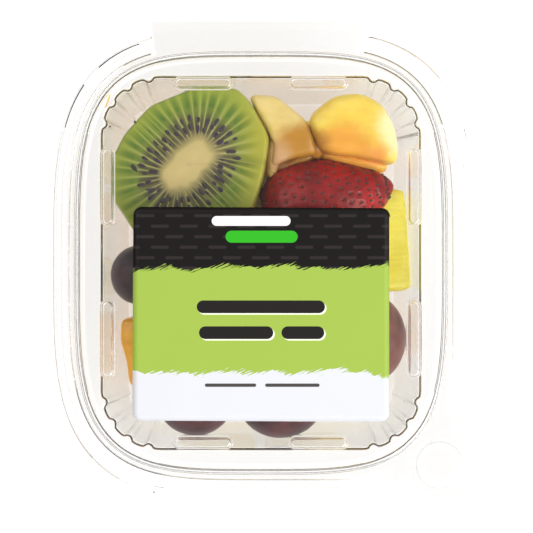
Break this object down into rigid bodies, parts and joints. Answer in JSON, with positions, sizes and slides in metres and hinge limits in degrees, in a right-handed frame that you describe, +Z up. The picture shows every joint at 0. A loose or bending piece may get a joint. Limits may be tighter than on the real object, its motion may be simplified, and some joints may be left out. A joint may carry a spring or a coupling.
{
  "type": "clear hinged tray of mixed cut fruit",
  "caption": "Clear tamper-evident hinged-lid tray of cut fruit with a paper label, rounded rectangular with fluted corners; the lid swings up on its back strip.",
  "frame": {"origin": "middle of the tray's underside, on the plane it rests on", "axes": "+Z up through the lid, +Y towards the hinge, +X to the right seen from the front"},
  "size_m": [0.1147, 0.1315, 0.0492],
  "materials": {
    "clear_plastic": "clear thermoformed PET sheet, glossy",
    "printed_label": "printed self-adhesive paper, semi-gloss",
    "kiwi": "wet cut kiwi flesh",
    "strawberry": "wet strawberry skin",
    "pineapple": "wet cut pineapple flesh",
    "mango": "wet cut mango flesh",
    "grape": "dark grape skin with bloom"
  },
  "bodies": {
    "tray": {"base_tray": "clear_plastic", "kiwi_slice": "kiwi", "strawberry_half": "strawberry", "pineapple_back_left": "pineapple", "pineapple_back": "pineapple", "pineapple_right": "pineapple", "pineapple_middle": "pineapple", "pineapple_left": "pineapple", "pineapple_front_left": "pineapple", "pineapple_front": "pineapple", "pineapple_top_pale": "pineapple", "pineapple_top_right": "pineapple", "mango_left": "mango", "mango_back_right": "mango", "mango_right_low": "mango", "mango_middle": "mango", "mango_front_left": "mango", "mango_right_front": "mango", "grape_left": "grape", "grape_right": "grape", "grape_front_left": "grape", "grape_front": "grape"},
    "cover": {"lid": "clear_plastic", "label": "printed_label"}
  },
  "joints": [
    {"name": "lid_hinge", "type": "hinge", "parent": "tray", "child": "cover", "pos_m": [0, 0.0653, 0.04], "axis": [-1, 0, 0], "range_deg": [0, 180]}
  ]
}
